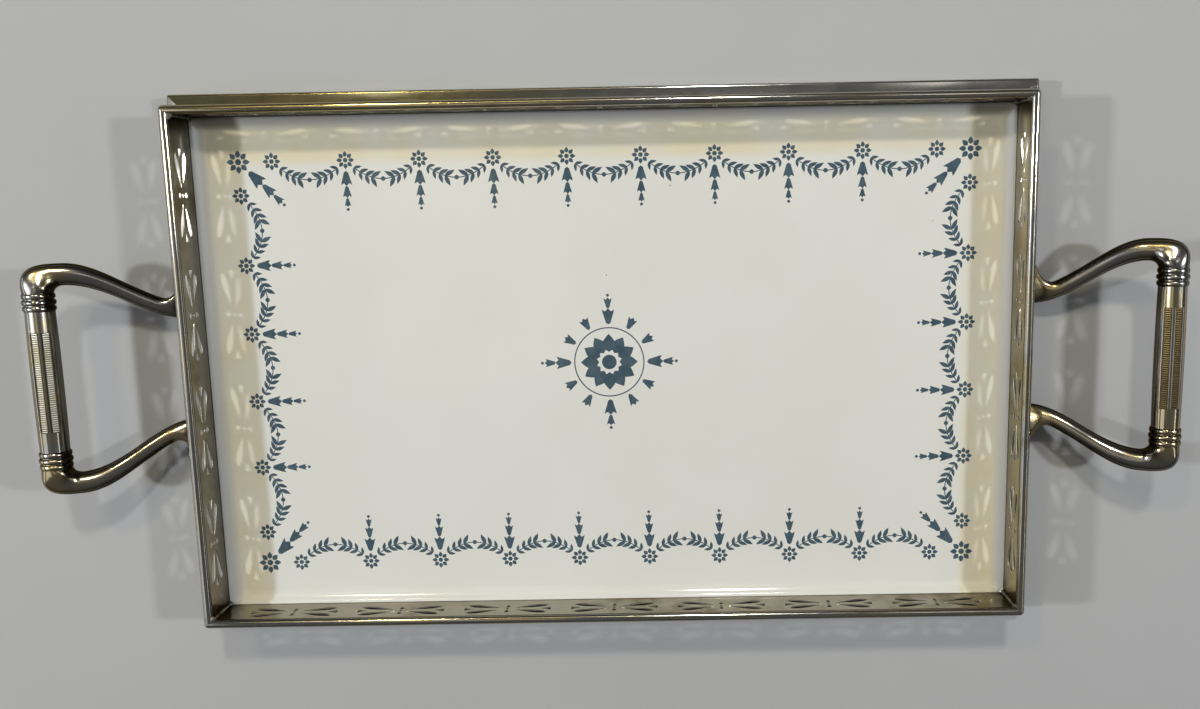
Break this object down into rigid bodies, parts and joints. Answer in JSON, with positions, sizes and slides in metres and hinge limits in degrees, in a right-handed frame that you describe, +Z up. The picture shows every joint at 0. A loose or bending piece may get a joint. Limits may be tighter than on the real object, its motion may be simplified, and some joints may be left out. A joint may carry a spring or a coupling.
{
  "type": "serving tray",
  "caption": "Rectangular serving tray with a glazed ceramic plate in a low pierced metal gallery with a beaded rim, and a fixed cast handle at each end.",
  "frame": {"origin": "middle of the underside, on the table", "axes": "+X along the tray's length from the left handle to the right, +Y towards the back long side, +Z up out of the plate"},
  "size_m": [0.5418, 0.264, 0.0415],
  "materials": {
    "glazed_plate": "glossy glaze, cream, with a slate-blue border print",
    "nickel_plate": "polished nickel plate on brass, aged",
    "cast_nickel": "polished nickel plate on cast brass, worn",
    "bare_brass": "dull, unpolished",
    "steel": "plain, slightly darkened",
    "felt": "pressed wool felt"
  },
  "bodies": {
    "root": {"ceramic_plate": "glazed_plate", "bedding_front": "felt", "bedding_right": "felt", "bedding_back": "felt", "bedding_left": "felt", "base_rail_front": "nickel_plate", "base_rail_right": "nickel_plate", "base_rail_back": "nickel_plate", "base_rail_left": "nickel_plate", "gallery_front": "nickel_plate", "gallery_right": "nickel_plate", "gallery_back": "nickel_plate", "gallery_left": "nickel_plate", "rim_bead_front": "nickel_plate", "rim_bead_right": "nickel_plate", "rim_bead_back": "nickel_plate", "rim_bead_left": "nickel_plate", "corner_brace_front_left": "bare_brass", "corner_brace_front_right": "bare_brass", "corner_brace_back_left": "bare_brass", "corner_brace_back_right": "bare_brass", "brace_screws": "steel", "gallery_rivets": "bare_brass", "left_arm_front": "cast_nickel", "left_collar_front": "cast_nickel", "left_arm_back": "cast_nickel", "left_collar_back": "cast_nickel", "left_grip": "cast_nickel", "left_tie_rod": "steel", "right_arm_front": "cast_nickel", "right_collar_front": "cast_nickel", "right_arm_back": "cast_nickel", "right_collar_back": "cast_nickel", "right_grip": "cast_nickel", "right_tie_rod": "steel", "handle_screws": "steel"}
  },
  "joints": []
}
